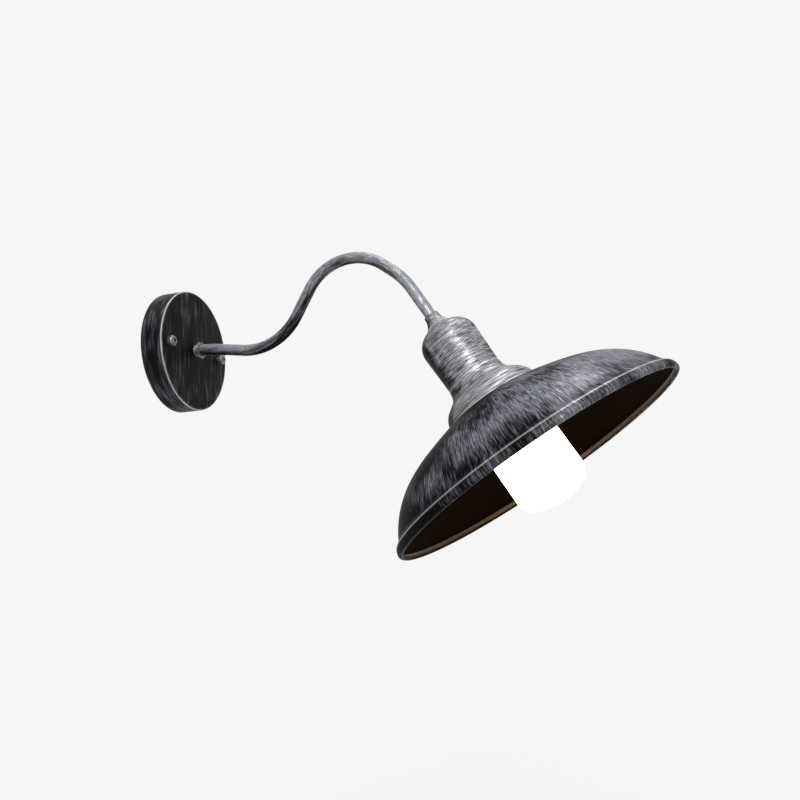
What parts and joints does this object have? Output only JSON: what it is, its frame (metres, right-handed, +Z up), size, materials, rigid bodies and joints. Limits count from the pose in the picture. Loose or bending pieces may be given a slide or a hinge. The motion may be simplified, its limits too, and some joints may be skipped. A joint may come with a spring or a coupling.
{
  "type": "gooseneck wall sconce",
  "caption": "Wall light with a round canopy, a bent tube arm, a spun neck cup and a wide shallow shade that points down and out over one screw-base lamp.",
  "frame": {"origin": "centre of the canopy on the wall plane, which is the centre of the bracket's cable hole", "axes": "+Z up, +Y into the wall, the arm and shade reach towards -Y, X across"},
  "size_m": [0.2841, 0.4769, 0.2922],
  "materials": {
    "aged_silver_enamel": "black enamel brushed over with silver",
    "brushed_silver_arm": "black enamel brushed over with more silver, along the tube",
    "zinc_steel": "zinc plated",
    "nickel": "nickel plated, dull",
    "brass": "plain",
    "phenolic": "moulded, satin black",
    "terminal_plastic": "moulded, natural white",
    "porcelain": "white, unglazed faces",
    "opal": "opal, lit from inside",
    "white_plastic": "white",
    "cap_metal": "plain pressed",
    "black_glass": "black glass",
    "solder": "solder",
    "circuit_board": "white solder mask",
    "chip": "yellow phosphor",
    "live_pvc": "brown",
    "neutral_pvc": "blue",
    "earth_pvc": "green and yellow",
    "spreader_aluminium": "plain",
    "capacitor_sleeve": "black sleeve"
  },
  "bodies": {
    "fixture": {"wall_bracket": "zinc_steel", "bracket_studs": "zinc_steel", "stud_lock_nuts": "zinc_steel", "canopy_shell": "aged_silver_enamel", "canopy_nuts": "nickel", "root_bush": "nickel", "arm_flange": "brushed_silver_arm", "arm_back_washer": "zinc_steel", "arm_back_nut": "zinc_steel", "arm_tube": "brushed_silver_arm", "terminal_block": "terminal_plastic", "terminal_tubes": "brass", "terminal_screws": "zinc_steel", "block_screw": "zinc_steel", "earth_lug": "zinc_steel", "earth_screw": "brass", "earth_wire": "earth_pvc", "neutral_wire": "neutral_pvc", "live_wire": "live_pvc", "neck_cup": "aged_silver_enamel", "cup_washer": "zinc_steel", "cup_nut": "zinc_steel", "holder_cap": "phenolic", "holder_grub_screw": "zinc_steel", "holder_body": "phenolic", "holder_insert": "porcelain", "contact_terminals": "brass", "contact_screws": "zinc_steel", "screw_shell": "brass", "shade": "aged_silver_enamel", "shade_ring": "phenolic"},
    "centre_contact": {"contact_tongue": "brass"},
    "lamp": {"lamp_cap": "cap_metal", "lamp_insulator": "black_glass", "lamp_tip_contact": "solder", "lamp_housing": "white_plastic", "heat_spreader": "spreader_aluminium", "led_board": "circuit_board", "led_chips": "chip", "driver_board": "circuit_board", "driver_capacitor": "capacitor_sleeve", "lamp_diffuser": "opal"}
  },
  "joints": [
    {"name": "lamp_unscrew", "type": "hinge", "parent": "fixture", "child": "lamp", "pos_m": [0, -0.35613, -0.14425], "axis": [0, -0.512, -0.859], "range_deg": [0, 1800]},
    {"name": "contact_press", "type": "hinge", "parent": "fixture", "child": "centre_contact", "pos_m": [-0.0096, -0.30868, -0.06467], "axis": [0, -0.859, 0.512], "range_deg": [0, 7], "stiffness_Nm_per_rad": 0.05, "springref_deg": -11.46}
  ]
}
